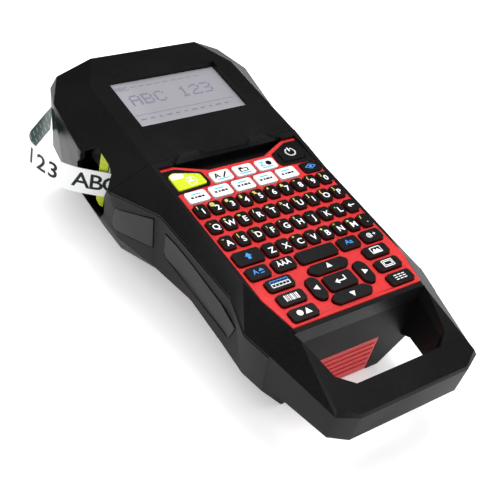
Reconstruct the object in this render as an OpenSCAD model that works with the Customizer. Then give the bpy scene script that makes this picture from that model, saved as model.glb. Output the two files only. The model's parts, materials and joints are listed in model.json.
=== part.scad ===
// Hand-held label printer: a wide display head, a narrow keyboard deck and a loop handle.
// Shapes are drawn in the keyboard's own frame, called the deck frame: X to the right, Y towards
// the head, Z up from the tops of the keys. placed() then tilts the deck and stands the printer
// on its feet, with the origin under the middle of the foot bar.

/* [Stance] */
// Angle by which the keyboard faces the user, degrees
deck_tilt = 5.5; // [4:0.5:7]
// Height of the key tops over the table, above the foot bar
deck_lift = 70.6; // [70:0.2:72]

/* [Casing] */
// Half width of the display head at its widest
head_half = 67; // [64:1:70]
// Half width of the flat top of the head
hood_half = 48.5; // [46:0.5:50]
// Deck Y of the head's rear face
head_rear = 137; // [132:1:142]
// Deck Y of the front of the handle
handle_front = -134; // [-138:1:-130]
// Wall of the moulded shells
wall = 2.4; // [2:0.2:3]

/* [Keys] */
// Distance between neighbouring key columns
key_pitch = 9; // [8.8:0.1:9.2]
// Distance between key rows
row_pitch = 12.4; // [12:0.1:12.6]
// Width of a letter key
letter_w = 7; // [6.8:0.1:7.4]
// Depth of a letter key
letter_d = 8.9; // [8.6:0.1:10]
// Corner radius of the keys
key_r = 1.8; // [1:0.1:2.4]
// Gap round each key in the plate
key_gap = 0.35; // [0.3:0.05:0.5]

/* [Printing] */
// Width of the tape
tape_w = 18; // [12:6:24]
// Thickness of the tape as modelled
tape_t = 0.4; // [0.3:0.1:0.6]
// Gear module
gear_m = 0.8; // [0.8:0.1:0.8]

/* [Hidden] */

fine = 48;
fit = 0.08;
foot_y = 60;
foot_z = -(deck_lift + foot_y * sin(deck_tilt)) / cos(deck_tilt);
stand_y = foot_y * cos(deck_tilt) - foot_z * sin(deck_tilt);

// Levels in the deck frame
plate_top = -1.6;
plate_t = 1.6;
key_bottom = -6;
key_flange = 0.9;
board_top = -7.2;
key_tops = 0;
key_low_tops = -0.8;
tape_mid = -38.8;
chassis_z = -20;
chassis_t = 1.5;
gear_z = -17.6;
gear_t = 3.2;

// Half outlines of the casing, one ring for each station, every point [x, y, z]
hood_rings = [
    [[hood_half, 41.25, 0.5], [60, 44.75, -11], [head_half, 46.95, -18]],
    [[hood_half, 85, 1.4], [60, 85, -9.9], [head_half + 0.3, 85, -17]],
    [[hood_half, 111, 2.2], [60, 115, -5.7], [head_half, 118, -10.5]],
    [[36, head_rear - 1, 3], [56.5, head_rear, -6.5], [60, head_rear, -14]]
];
deck_rings = [
    [[44.4, -127, -10.9], [45.6, -128.7, -13.4]],
    [[40.8, -87, -2.4], [54.3, -87, -12.4]],
    [[44.6, -71, -2.2], [57.8, -71, -12.2]],
    [[47.4, -50, -1.9], [52.1, -50, -10.8]],
    [[48, 13, -1.2], [56, 13, -9.6]],
    [[hood_half, 41, 0.5], [head_half, 46.7, -18]]
];
handle_nose = [[34.2, -133, -12], [34.6, handle_front, -13.6]];
lower_rings = [
    [[54.3, -87, -12.4], [50.5, -87, -41.5], [33, -87, -62]],
    [[57.8, -71, -12.2], [51, -71, -45.5], [35, -71, -62]],
    [[52.1, -50, -10.8], [49.5, -50, -46.5], [36, -50, -61.5]],
    [[53.8, -18, -10.2], [50.5, -18, -44], [38, -18, -60.5]],
    [[56, 13, -9.6], [53, 13, -49.5], [44, 20, -62]],
    [[head_half, 46.7, -18], [60, 44, -52], [48.5, 55, -74.6]],
    [[head_half + 0.3, 85, -17], [61.5, 80, -52], [48, 76, -76.6]],
    [[head_half, 118, -10.5], [61.5, 110, -52], [45.5, 110, -79.9]],
    [[60, head_rear, -14], [57, 133, -55], [43, 128, -81.6]]
];
handle_rings = [
    [[34.6, handle_front, -13.6], [34.8, -133.3, -31.3]],
    [[45.6, -128.7, -13.4], [44.5, -127.6, -30.5]],
    [[53, -92, -12.5], [49, -94, -36]],
    [[54.2, -87, -12.5], [50.4, -87, -41.4]],
    [[53, -84, -12.5], [49.4, -84, -41.2]]
];
opening = [[42, -87], [35.5, -112.5], [27, -119.3]];

// Printing path: the tape leaves the cartridge, passes the nip and runs straight to the exit
nip = [-41.07, 64.46];
tape_dir = [-0.822, 0.570];
tape_out = [-0.570, -0.822];
platen_r = 4.5;
platen_at = nip + (platen_r + tape_t / 2 + 0.05) * tape_out;
teeth = [20, 30, 12, 18];
idler_at = platen_at + 20 * [cos(15.2), sin(15.2)];
pinion_at = idler_at + 16.8 * [cos(-22.7), sin(-22.7)];
takeup_at = idler_at + 19.2 * [cos(82.5), sin(82.5)];
reel_at = [13.5, 97];
supply_at = [-20, 110];
arm_at = nip - 7.4 * tape_out + 12 * tape_dir;

// ---------------------------------------------------------------- helpers

module placed() {
    translate([0, -stand_y, deck_lift])
        rotate([deck_tilt, 0, 0])
            children();
}

function mirrored(ring) = concat(
    ring,
    [for (i = [len(ring) - 1 : -1 : 0]) [-ring[i].x, ring[i].y, ring[i].z]]
);

// Closed solid through the rings, listed from the handle end towards the head
module loft(rings) {
    n = 2 * len(rings[0]);
    last = len(rings) - 1;
    points = [for (ring = rings) each mirrored(ring)];
    sides = [
        for (k = [0 : last - 1], i = [0 : n - 1])
            let (j = (i + 1) % n, a = k * n, b = a + n, swap = i < n / 2)
                each swap
                    ? [[a + i, b + i, a + j], [a + j, b + i, b + j]]
                    : [[a + i, b + j, a + j], [a + i, b + i, b + j]]
    ];
    caps = [
        for (i = [1 : n - 2])
            each [[0, i, i + 1], [last * n, last * n + i + 1, last * n + i]]
    ];
    polyhedron(points = points, faces = concat(sides, caps), convexity = 6);
}

// A ring moved in from the skin: [inwards, along Y, up] for its first, middle and last points
function moved(ring, first, middle, last) = [
    for (i = [0 : len(ring) - 1])
        let (m = i == 0 ? first : i == len(ring) - 1 ? last : middle)
            [ring[i].x - m.x, ring[i].y + m.y, ring[i].z + m.z]
];

// Prism of a half outline [x, y], mirrored about the middle plane
module prism(half, low, high) {
    points = concat(half, [for (i = [len(half) - 1 : -1 : 0]) [-half[i].x, half[i].y]]);
    translate([0, 0, low])
        linear_extrude(height = high - low)
            polygon(points);
}

// Plate of a plain outline between two levels
module slab(points, low, high) {
    translate([0, 0, low])
        linear_extrude(height = high - low)
            polygon(points);
}

// A polygon with its corners rounded off, starting this far from each
function rounded(points, cut) = [
    for (i = [0 : len(points) - 1])
        let (
            b = points[i],
            a = points[(i + len(points) - 1) % len(points)],
            c = points[(i + 1) % len(points)],
            from = b + cut * (a - b) / norm(a - b),
            to = b + cut * (c - b) / norm(c - b)
        )
            each [for (s = [0 : 0.25 : 1]) (1 - s) * (1 - s) * from + 2 * s * (1 - s) * b + s * s * to]
];

module block(at, size) {
    translate([at.x, at.y, at.z])
        cube(size, center = true);
}

// Upright round bar from one level to another
module post(at, r, low, high) {
    translate([at.x, at.y, low])
        cylinder(r = r, h = high - low, $fn = fine);
}

// Frame whose X runs along the tape, Y across it towards the platen, at the nip
module along_tape() {
    translate([nip.x, nip.y, tape_mid])
        rotate([0, 0, atan2(tape_dir.y, tape_dir.x)])
            children();
}

// Spur gear with short straight-sided teeth, one tooth centred at the angle start
module gear(count, start, bore) {
    pitch_r = count * gear_m / 2;
    root_r = pitch_r - 1.0 * gear_m;
    tip_r = pitch_r + 0.75 * gear_m;
    root_half = 0.25 * 360 / count;
    tip_half = 0.10 * 360 / count;
    outline = [
        for (i = [0 : count - 1])
            let (a = start + i * 360 / count)
                each [
                    root_r * [cos(a - root_half), sin(a - root_half)],
                    tip_r * [cos(a - tip_half), sin(a - tip_half)],
                    tip_r * [cos(a + tip_half), sin(a + tip_half)],
                    root_r * [cos(a + root_half), sin(a + root_half)]
                ]
    ];
    translate([0, 0, gear_z])
        difference() {
            linear_extrude(height = gear_t)
                polygon(outline);
            translate([0, 0, -1])
                cylinder(r = bore, h = gear_t + 2, $fn = fine);
        }
}

// Start angle that puts a gap of the driven gear on a tooth of the idler at direction d
function mesh_start(d, count) =
    let (step = 360 / teeth[1], turn = d - step * floor(d / step))
        d + 180 + 180 / count + turn * teeth[1] / count;

// ---------------------------------------------------------------- keys

function at_key(column, row) = [(column - 4.5) * key_pitch, -row * row_pitch];

// Rounded outline of a key, grown by the gap where it is a hole
module key_outline(w, d, r, grow) {
    rr = r + grow;
    x = w / 2 + grow;
    y = d / 2 + grow;
    square([2 * x - 2 * rr, 2 * y], center = true);
    square([2 * x, 2 * y - 2 * rr], center = true);
    for (sx = [-1, 1], sy = [-1, 1])
        translate([sx * (x - rr), sy * (y - rr)])
            circle(r = rr, $fn = 32);
}

// One key: a cap and the flange that holds it under the plate
module key(place, w, d, top = key_tops, r = key_r) {
    at = at_key(place.x, place.y);
    translate([at.x, at.y, key_bottom]) {
        linear_extrude(height = top - key_bottom)
            key_outline(w, d, r, 0);
        linear_extrude(height = key_flange)
            key_outline(w, d, r, 0.7);
    }
}

module key_hole(place, w, d, r = key_r) {
    at = at_key(place.x, place.y);
    translate([at.x, at.y, plate_top - plate_t - 1])
        linear_extrude(height = plate_t + 2)
            key_outline(w, d, r, key_gap);
}

// Keys with an outline of their own: points about the key's centre, scaled up for its hole
module cut_key(place, points, top = key_tops) {
    at = at_key(place.x, place.y);
    translate([at.x, at.y, key_bottom])
        linear_extrude(height = top - key_bottom)
            polygon(points);
}

module cut_hole(place, points) {
    at = at_key(place.x, place.y);
    span = max([for (p = points) norm(p)]);
    translate([at.x, at.y, plate_top - plate_t - 1])
        linear_extrude(height = plate_t + 2)
            polygon([for (p = points) p * (1 + 1.6 * key_gap / span)]);
}

letter_rows = [
    [for (c = [0 : 9]) [c, 0]],
    [for (c = [0 : 9]) [c, 1]],
    [for (c = [0 : 9]) [c, 2]],
    [for (c = [2 : 9]) [c, 3]]
];
function_places = [
    [0.45, -0.89], [2.08, -0.89], [3.72, -0.89], [5.35, -0.89], [6.99, -0.89],
    [2.84, -1.72], [4.50, -1.72], [6.16, -1.72]
];
white_w = 12.6;
white_d = 8.2;
white_r = 1.5;
small_w = 12.6;
small_d = 7.8;
edge_w = 15.4;
edge_d = 7.2;
// Places and sizes of the other rectangular keys: [column, row], width, depth
shift_place = [[0.5, 3], 16.2, letter_d];
caps_place = [[0.34, 3.89], small_w, small_d];
accent_place = [[2.08, 3.89], small_w, small_d];
space_place = [[4.42, 3.89], 24.5, small_d];
case_place = [[6.78, 3.89], small_w, small_d];
symbol_place = [[8.52, 3.89], small_w, small_d];
table_place = [[1.01, 4.72], edge_w, edge_d];
barcode_place = [[1.01, 5.54], edge_w, edge_d];
shape_place = [[1.01, 6.36], edge_w, edge_d];
picture_place = [[7.94, 4.72], edge_w, edge_d];
frame_place = [[7.94, 5.54], edge_w, edge_d];
column_place = [[7.94, 6.36], edge_w, edge_d];
preview_place = [[8.83, -0.89], 11.6, white_d];
enter_place = [[4.41, 5.53], 17.6, 9.8];
plain_keys = [
    shift_place, caps_place, accent_place, space_place, case_place, symbol_place, table_place,
    barcode_place, shape_place, picture_place, frame_place, column_place, preview_place,
    enter_place
];
// Cursor keys: bars with their corners cut off, round the enter key
function turned(points) = [for (p = points) -p];
bar_up = rounded([[-12.2, 1.2], [-9.8, 3.4], [9.8, 3.4], [12.2, 1.2], [12.2, -0.8], [9, -3.4],
                  [-9, -3.4], [-12.2, -0.8]], 0.9);
bar_side = rounded([[3.5, -5], [3.5, 5], [1.2, 7.3], [-1.6, 7.3], [-3.9, 4.6], [-3.9, -4.6],
                    [-1.6, -7.3], [1.2, -7.3]], 1.2);
up_place = [4.44, 4.69];
down_place = [4.44, 6.31];
left_place = [2.77, 5.52];
right_place = [6.15, 5.52];
print_points = rounded([[-9.2, 5.2], [-5.4, 6.9], [8.8, 2], [9.2, -5.9], [-9.2, -6.9]], 1.5);
print_place = [0.69, -2];
power_points = rounded([[-7.6, -5.5], [6.3, -5.5], [8.5, -2.8], [8.5, 6.7], [1.5, 6.9], [-7.6, 2.6]], 0.9);
power_place = [8.35, -2];

module print_key() {
    color([0.75, 0.85, 0.1])
        placed()
            cut_key(print_place, print_points, key_low_tops);
}

module power_key() {
    color([0.1, 0.1, 0.1])
        placed()
            cut_key(power_place, power_points, key_low_tops);
}

module cursor_key(place, points) {
    color([0.12, 0.12, 0.12])
        placed()
            cut_key(place, points);
}

module plain_key(spec, top = key_tops) {
    color([0.12, 0.12, 0.12])
        placed()
            key(spec[0], spec[1], spec[2], top);
}

module row_of_keys(places) {
    color([0.12, 0.12, 0.12])
        placed()
            for (p = places)
                key(p, letter_w, letter_d);
}

module function_keys() {
    color([0.95, 0.95, 0.95])
        placed()
            for (p = function_places)
                key(p, white_w, white_d, key_low_tops, white_r);
}

// ---------------------------------------------------------------- casing

plate_half = [[41.2, -84.4], [45.6, -63.5], [45.8, 36.9], [36, 36.9], [18.6, 28.6]];
// Black corner pads that carry the print key and the power key
pad = rounded([[46.4, 34.6], [36.6, 34.6], [23.6, 28.1], [22.8, 20.2], [24.4, 17.3], [46.4, 15.9]], 0.8);
pad_at = [34.5, 25.3];

module exit_prism() {
    profile = [[83, -24], [82.8, -20.6], [80.4, -15.6], [77.2, -11.9], [73.8, -11.1], [60, -11.8],
               [54.6, -13.4], [49.4, -17.8], [52, -23], [55.3, -29.5], [57.2, -40], [58.2, -46],
               [65.6, -57], [84, -60], [90, -48], [88, -30]];
    translate([-75, 0, 0])
        rotate([90, 0, 90])
            linear_extrude(height = 22)
                polygon(profile);
}

screw_front = [38.3, -119.5];
screw_rear = [41.6, 118];
// Deck area under the lip of the display hood, and the dark tray that closes it below
recess = [[-36.2, 36.9], [-18.8, 28.6], [18.8, 28.6], [36.2, 36.9], [36.2, 50], [-36.2, 50]];
tray_out = [[-37.2, 37], [-18.9, 28.75], [18.9, 28.75], [37.2, 37], [37.2, 41.6], [-37.2, 41.6]];
tray_in = [[-35.4, 37.6], [-18.4, 29.9], [18.4, 29.9], [35.4, 37.6], [35.4, 40.4], [-35.4, 40.4]];

module upper_case() {
    t = wall;
    inner = [
        moved(deck_rings[1], [0.5, t, -t], [0, 0, 0], [3, t, -9]),
        moved(deck_rings[2], [0.5, 0, -t], [0, 0, 0], [3, 0, -9]),
        moved(deck_rings[3], [0.5, 0, -t], [0, 0, 0], [3, 0, -9]),
        moved(deck_rings[4], [0.5, 0, -t], [0, 0, 0], [3, 0, -9]),
        moved(deck_rings[5], [0.5, 4, -t], [0, 0, 0], [3, 4, -9])
    ];
    color([0.13, 0.13, 0.13])
        placed()
            difference() {
                union() {
                    difference() {
                        loft(concat([handle_nose], deck_rings));
                        loft(inner);
                        prism(plate_half, -30, 10);
                        slab(recess, -30, 10);
                    }
                    difference() {
                        slab(tray_out, -9, -3);
                        slab(tray_in, -7.8, 1);
                    }
                    for (s = [-1, 1])
                        block([s * 38.3, 38.9, -3.6], [3.4, 4.4, 4.4]);
                    difference() {
                        for (s = [-1, 1])
                            slab([for (p = pad) [s * p.x, p.y]], plate_top - plate_t, plate_top + 0.3);
                        cut_hole(print_place, print_points);
                        cut_hole(power_place, power_points);
                    }
                    for (s = [-1, 1])
                        post([s * screw_front.x, screw_front.y], 2.8, -27, -12);
                }
                prism(opening, -40, 10);
                for (s = [-1, 1])
                    post([s * screw_front.x, screw_front.y], 1.25, -30, -11);
            }
}

window_w = 73.8;
window_d = 43.4;

// The display window's own frame: on the hood's top, tilted with it
module at_window() {
    translate([0, 92.1, 1.62])
        rotate([1.7, 0, 0])
            children();
}

// Cut along the hood's front lip: a slope from this outline on top down to the lip's edge
module lip_slope(top, low) {
    hull() {
        slab(top, 0.55, 3);
        slab(low, -1.5, -1.4);
    }
}

module display_hood() {
    t = wall;
    inner = [
        moved(hood_rings[0], [0.8, -4, -t], [2.2, -4, -t], [3, -4, -9]),
        moved(hood_rings[1], [0.8, 0, -t], [2.2, 0, -t], [3, 0, -9]),
        moved(hood_rings[2], [0.8, -1, -t], [2.2, -2, -t], [3, -2, -9]),
        moved(hood_rings[3], [0.8, -t, -t], [2.2, -t, -t], [3, -t, -9])
    ];
    color([0.12, 0.12, 0.12])
        placed()
            difference() {
                union() {
                    difference() {
                        loft(hood_rings);
                        loft(inner);
                    }
                    // Lip that hangs over the top of the keyboard
                    prism([[36.8, 41.8], [36, 38.2]], -2.6, 0.45);
                    // Frame that holds the display window
                    at_window()
                        block([0, 0, -3.2], [window_w + 4, window_d + 4, 3.8]);
                    for (s = [-1, 1])
                        post([s * screw_rear.x, screw_rear.y], 3, -72, 1);
                }
                exit_prism();
                for (s = [-1, 1])
                    lip_slope([[s * 12.5, 36], [s * 12.5, 39.9], [s * 17.5, 43.2], [s * 28.5, 43.2],
                               [s * 34.5, 39.9], [s * 34.5, 36]],
                              [[s * 15, 36], [s * 15, 38.2], [s * 33, 38.2], [s * 33, 36]]);
                lip_slope([[-12.6, 36], [-12.6, 39.9], [12.6, 39.9], [12.6, 36]],
                          [[-15, 36], [-15, 38.2], [15, 38.2], [15, 36]]);
                at_window() {
                    block([0, 0, 0], [window_w, window_d, 9]);
                    block([0, 0, -5], [67, 36, 12]);
                }
                for (s = [-1, 1])
                    post([s * screw_rear.x, screw_rear.y], 1.25, -80, -62);
            }
}

module display_lens() {
    color([0.75, 0.76, 0.82])
        placed()
            at_window()
                block([0, 0, -4], [window_w - 0.2, window_d - 0.2, 1]);
}

module lcd_panel() {
    color([0.62, 0.62, 0.7])
        placed()
            at_window() {
                block([0, 0, -5.1], [66, 35, 1.1]);
                block([0, 0, -6.6], [74, 46, 2]);
                block([0, 0, -8.3], [78, 50, 1.6]);
            }
}

module key_plate() {
    color([0.9, 0.18, 0.15])
        placed()
            difference() {
                prism([[41.05, -84.25], [45.45, -63.45], [45.65, 36.75], [36, 36.75], [18.5, 28.45]],
                      plate_top - plate_t, plate_top);
                for (row = letter_rows, p = row)
                    key_hole(p, letter_w, letter_d);
                for (p = function_places)
                    key_hole(p, white_w, white_d, white_r);
                for (k = plain_keys)
                    key_hole(k[0], k[1], k[2]);
                cut_hole(up_place, bar_up);
                cut_hole(down_place, turned(bar_up));
                cut_hole(left_place, bar_side);
                cut_hole(right_place, turned(bar_side));
                for (s = [-1, 1])
                    scale([s, 1, 1])
                        slab([for (p = pad) pad_at + 1.012 * (p - pad_at)], -5, 1);
            }
}

module key_board() {
    color([0.1, 0.35, 0.2])
        placed()
            slab([[-40, -82], [40, -82], [44, -60], [44, 27], [-44, 27], [-44, -60]],
                 board_top - 1.6, board_top);
}

// Side grip outlines as [y, z], seen from the side
grip_rear = [[43.4, -28], [17, -15.8], [16, -35.5], [45.6, -46.6], [48, -45]];
grip_front = [[6.8, -18.6], [6.8, -31.6], [4.6, -34.2], [-43.5, -36.2], [-54.2, -37], [-58, -25],
              [-44, -21.4], [-27.5, -19.8], [-2.3, -18]];

module side_prism(profile, grow) {
    for (s = [0, 1])
        mirror([s, 0, 0])
            translate([40, 0, 0])
                rotate([90, 0, 90])
                    linear_extrude(height = 40)
                        offset(delta = grow)
                            polygon(profile);
}

// The lower shell's outside, moved out by grow
module lower_skin(grow) {
    loft([for (r = lower_rings) moved(r, [-grow, 0, 0], [-grow, 0, 0], [-grow, 0, -grow])]);
}

module lower_case() {
    t = wall;
    inner = [
        moved([[54.3, -87, -12.4], [50.5, -87, -41.5], [33, -87, -62]], [t, t, 4], [t, t, 0.6], [1.2, t, t]),
        moved(lower_rings[1], [t, 0, 4], [t, 0, 0.6], [1.2, 0, t]),
        moved(lower_rings[2], [t, 0, 4], [t, 0, 0.6], [1.2, 0, t]),
        moved(lower_rings[3], [t, 0, 4], [t, 0, 0.6], [1.2, 0, t]),
        moved(lower_rings[4], [t, 0, 4], [t, 0, 0.6], [1.2, 0, t]),
        moved(lower_rings[5], [t, 0, 4], [t, 1, 0.6], [1.2, 1, t]),
        moved(lower_rings[6], [t, 0, 4], [t, 0, 0.6], [1.2, 0, t]),
        moved(lower_rings[7], [t, -1, 4], [t, -1, 0.6], [1.2, -1, t]),
        moved(lower_rings[8], [t, -t, 4], [t, -t, 0.6], [1.2, -t, t])
    ];
    color([0.18, 0.18, 0.18])
        placed()
            difference() {
                union() {
                    difference() {
                        loft(lower_rings);
                        loft(inner);
                    }
                    for (s = [-1, 1])
                        post([s * screw_rear.x, screw_rear.y], 3, -79.6, -72.15);
                    difference() {
                        loft(handle_rings);
                        difference() {
                            prism([[51.5, -84], [42.8, -126.6], [33.5, -131]], -27.5, 0);
                            prism([[44.8, -80], [38.2, -113.8], [28.4, -121.9]], -50, 1);
                        }
                    }
                }
                prism(opening, -60, 10);
                exit_prism();
                // Grooves in which the side grips lie
                difference() {
                    union() {
                        side_prism(grip_rear, 0.6);
                        side_prism(grip_front, 0.6);
                    }
                    lower_skin(-0.9);
                }
                // Bays for the battery cover, the tape cover and the socket door
                prism([[24.2, -92], [24.2, 26.2]], -80, -57);
                prism([[24.2, -92], [24.2, -84]], -64, -35);
                in_world() {
                    translate([-38.2, 5.2, -5])
                        cube([76.4, 58.6, 9.3]);
                    block([33, 69, 49.2], [26, 8, 13.6]);
                }
                for (s = [-1, 1]) {
                    post([s * screw_rear.x, screw_rear.y], 1.5, -90, -70);
                    post([s * screw_rear.x, screw_rear.y], 2.9, -90, -79.6);
                    post([s * screw_front.x, screw_front.y], 1.5, -40, -20);
                    post([s * screw_front.x, screw_front.y], 2.9, -40, -29.6);
                }
            }
    // Ears that carry the tape cover's hinge pin
    color([0.18, 0.18, 0.18])
        for (s = [-1, 1])
            difference() {
                block([s * 34.5, 62.6, 3.9], [7, 5, 4.2]);
                translate([s * 34.5, 0, 0])
                    along_x(pin_at, pin_r, 9);
            }
}

module side_grips() {
    color([0.3, 0.3, 0.3])
        placed()
            for (profile = [grip_rear, grip_front])
                difference() {
                    intersection() {
                        side_prism(profile, 0);
                        lower_skin(0.3);
                    }
                    lower_skin(-0.9);
                }
}

// ---------------------------------------------------------------- covers and power

// Undoes placed(), for pieces that lie square to the table
module in_world() {
    rotate([-deck_tilt, 0, 0])
        translate([0, stand_y, -deck_lift])
            children();
}

pin_at = [61.6, 3.2];
pin_r = 0.8;
door_pin_at = [69.9, 43.2];

// Bar along X about the middle plane, at [y, z] of the standing object
module along_x(at, r, length) {
    translate([-length / 2, at.x, at.y])
        rotate([0, 90, 0])
            cylinder(r = r, h = length, $fn = fine);
}

module battery_cover() {
    color([0.85, 0.15, 0.12])
        placed() {
            prism([[24, -86.9], [24, 26]], -61.9, -59.6);
            prism([[24, -86.9], [24, -84.6]], -61.9, -35.2);
            for (z = [-57 : 4.2 : -38])
                prism([[22, -87.4], [23, -86.8]], z, z + 1.2);
            prism([[20, 26], [20, 29]], -59.4, -57.9);
            prism([[20, 24], [20, 26]], -60, -57.9);
        }
}

module battery_pack() {
    color([0.15, 0.2, 0.4])
        placed()
            difference() {
                prism([[23, -82], [23, 18]], -57.6, -36);
                for (x = [-12, 0, 12])
                    block([x, 18, -45], [4, 4, 9]);
            }
}

module battery_contacts() {
    color([0.8, 0.8, 0.75])
        placed()
            for (x = [-12, 0, 12]) {
                block([x, 19.2, -45], [2, 4.4, 6]);
                block([x, 21.6, -40], [3, 1, 20]);
            }
}

module tape_cover() {
    color([0.16, 0.16, 0.16])
        difference() {
            union() {
                difference() {
                    translate([-38, 5.5, 1.8])
                        cube([76, 56, 2.2]);
                    for (s = [-1, 1])
                        block([s * 34.6, 61, 3], [8.2, 8, 8]);
                    block([0, 7, 3], [16.4, 9.4, 8]);
                }
                for (s = [-1, 1])
                    translate([s * 17, 0, 0])
                        along_x(pin_at, 1.6, 24);
            }
            along_x(pin_at, pin_r + fit, 70);
        }
}

module hinge_pin() {
    color([0.75, 0.75, 0.75])
        along_x(pin_at, pin_r, 75);
}

module cover_latch() {
    color([0.2, 0.2, 0.2]) {
        translate([-8, 7.5, 1.8])
            cube([16, 2, 2.2]);
        for (y = [8.1, 9])
            block([0, y, 1.7], [12, 0.4, 0.4]);
    }
}

module port_cover() {
    color([0.16, 0.16, 0.16])
        translate([33, 0, 0]) {
            block([0, 69.9, 49.5], [25.4, 1.2, 12.6]);
            along_x(door_pin_at, 0.6, 25.4);
        }
}

module sockets() {
    color([0.3, 0.3, 0.32])
        difference() {
            union() {
                block([33, 67.4, 49.5], [25.6, 1.2, 12.8]);
                block([27, 62.5, 49.5], [9, 9, 9]);
                block([39, 62.5, 49.5], [9, 9, 5]);
            }
            translate([27, 60, 49.5])
                rotate([-90, 0, 0])
                    cylinder(r = 2.75, h = 10, $fn = fine);
            block([39, 64.5, 49.5], [7, 9, 2]);
        }
}

module main_board() {
    color([0.08, 0.3, 0.16])
        placed() {
            slab([[-36, -66], [36, -66], [36, 42], [-36, 42]], -18, -16.4);
            block([-14, -20, -20], [16, 16, 4]);
            block([14, 10, -19.5], [10, 22, 3]);
        }
}

module case_screws() {
    color([0.25, 0.25, 0.27])
        placed()
            for (s = [-1, 1]) {
                post([s * screw_rear.x, screw_rear.y], 2.6, -81, -79.6);
                post([s * screw_rear.x, screw_rear.y], 1.2, -80, -64);
                post([s * screw_front.x, screw_front.y], 2.6, -31, -29.6);
                post([s * screw_front.x, screw_front.y], 1.2, -30, -14);
            }
}

module feet() {
    color([0.08, 0.08, 0.08])
        difference() {
            union() {
                block([0, 0, 1.5], [52, 7, 3]);
                for (s = [-1, 1]) {
                    post([s * 26, 0], 3.5, 0, 3);
                    post([s * 43.5, 26], 3, 0, 3);
                    post([s * 29.2, -139.4], 3.4, 0, 3);
                }
            }
            placed()
                lower_skin(0);
        }
}

// ---------------------------------------------------------------- printing works

module tape_cartridge() {
    low = -60;
    high = -22;
    color([0.85, 0.86, 0.85])
        placed() {
            difference() {
                slab([[-36, 72], [35.5, 72], [35.5, 121], [-36, 121]], low, high);
                slab([[-34.5, 73.5], [34, 73.5], [34, 119.5], [-34.5, 119.5]], low - 1, high - 1.5);
                post(takeup_at, 3.2, high - 3, high + 1);
                // Slot through which the tape leaves
                block([-30, 72, tape_mid], [6, 4, tape_w + 1]);
            }
            post(reel_at, 5, low + 2, high - 1);
            post(supply_at, 3, low + 2, high - 1);
        }
}

module spool(at, outer, bore) {
    placed()
        difference() {
            post(at, outer, tape_mid - tape_w / 2, tape_mid + tape_w / 2);
            post(at, bore, tape_mid - tape_w, tape_mid + tape_w);
        }
}

module tape_reel() {
    color([0.95, 0.95, 0.93])
        spool(reel_at, 19, 5 + fit);
}

module ribbon_supply() {
    color([0.08, 0.08, 0.1])
        spool(supply_at, 7, 3 + fit);
}

module ribbon_takeup() {
    color([0.08, 0.08, 0.1])
        spool(takeup_at, 6, 2.5);
}

module takeup_gear() {
    color([0.9, 0.9, 0.85])
        placed() {
            translate([takeup_at.x, takeup_at.y, 0])
                gear(teeth[3], mesh_start(82.5, teeth[3]), 2.4);
            post(takeup_at, 2.5, -54, gear_z + gear_t);
        }
}

function turn_path(centre, r, from, to, steps) =
    [for (i = [0 : steps]) let (a = from + (to - from) * i / steps) centre + r * [cos(a), sin(a)]];

// The printed tape: straight from the nip, then one wide and one tight bend round the head
path_start = atan2(tape_dir.y, tape_dir.x);
tape_from = nip - 15.9 * tape_dir;
tape_exit = nip + 26.7 * tape_dir;
wide_r = 46;
tight_r = 14;
wide_end = 100;
tight_end = 40;
wide_centre = tape_exit - wide_r * tape_out;
wide_stop = wide_centre + wide_r * [cos(wide_end + 90), sin(wide_end + 90)];
tight_centre = wide_stop - tight_r * [cos(wide_end + 90), sin(wide_end + 90)];
tight_stop = tight_centre + tight_r * [cos(tight_end + 90), sin(tight_end + 90)];
tape_path = concat(
    [tape_from],
    turn_path(wide_centre, wide_r, path_start + 90, wide_end + 90, 12),
    turn_path(tight_centre, tight_r, wide_end + 87, tight_end + 90, 14),
    [tight_stop + 28 * [cos(tight_end), sin(tight_end)]]
);

module label_strip() {
    last = len(tape_path) - 1;
    side = [
        for (i = [0 : last])
            let (d = tape_path[min(i + 1, last)] - tape_path[max(i - 1, 0)])
                [-d.y, d.x] / norm(d) * tape_t / 2
    ];
    outline = concat(
        [for (i = [0 : last]) tape_path[i] + side[i]],
        [for (i = [last : -1 : 0]) tape_path[i] - side[i]]
    );
    color([0.96, 0.96, 0.94])
        placed()
            slab(outline, tape_mid - tape_w / 2, tape_mid + tape_w / 2);
}

module print_head() {
    color([0.7, 0.65, 0.55])
        placed()
            along_tape()
                block([0, -1.85, 0], [10, 3, 26]);
}

module head_arm() {
    color([0.6, 0.6, 0.62])
        placed()
            difference() {
                union() {
                    along_tape()
                        block([3.5, -4.4, 0], [19, 2, 22]);
                    post(arm_at, 3.2, tape_mid - 12, tape_mid + 12);
                }
                post(arm_at, 1.5 + fit, tape_mid - 20, tape_mid + 20);
            }
}

module platen_roller() {
    color([0.1, 0.1, 0.1])
        placed()
            difference() {
                post(platen_at, platen_r, tape_mid - 13, tape_mid + 13);
                post(platen_at, 2, tape_mid - 20, tape_mid + 20);
            }
}

module platen_gear() {
    color([0.9, 0.9, 0.85])
        placed() {
            translate([platen_at.x, platen_at.y, 0])
                gear(teeth[0], mesh_start(195.2, teeth[0]), 1.9);
            post(platen_at, 2, -53, gear_z + gear_t);
        }
}

module idler_gear() {
    color([0.9, 0.9, 0.85])
        placed()
            translate([idler_at.x, idler_at.y, 0])
                gear(teeth[1], 0, 1.5 + fit);
}

module feed_motor() {
    color([0.7, 0.7, 0.72])
        placed()
            difference() {
                post(pinion_at, 8.5, -46, chassis_z);
                post(pinion_at, 1 + fit, -32, 0);
            }
}

module motor_pinion() {
    color([0.8, 0.7, 0.3])
        placed() {
            translate([pinion_at.x, pinion_at.y, 0])
                gear(teeth[2], mesh_start(-22.7, teeth[2]), 0.9);
            post(pinion_at, 1, -31, gear_z + gear_t);
        }
}

module cutter_blade() {
    color([0.8, 0.8, 0.82])
        placed()
            along_tape()
                block([10.5, 7, 0], [0.8, 8, 27]);
}

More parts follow.
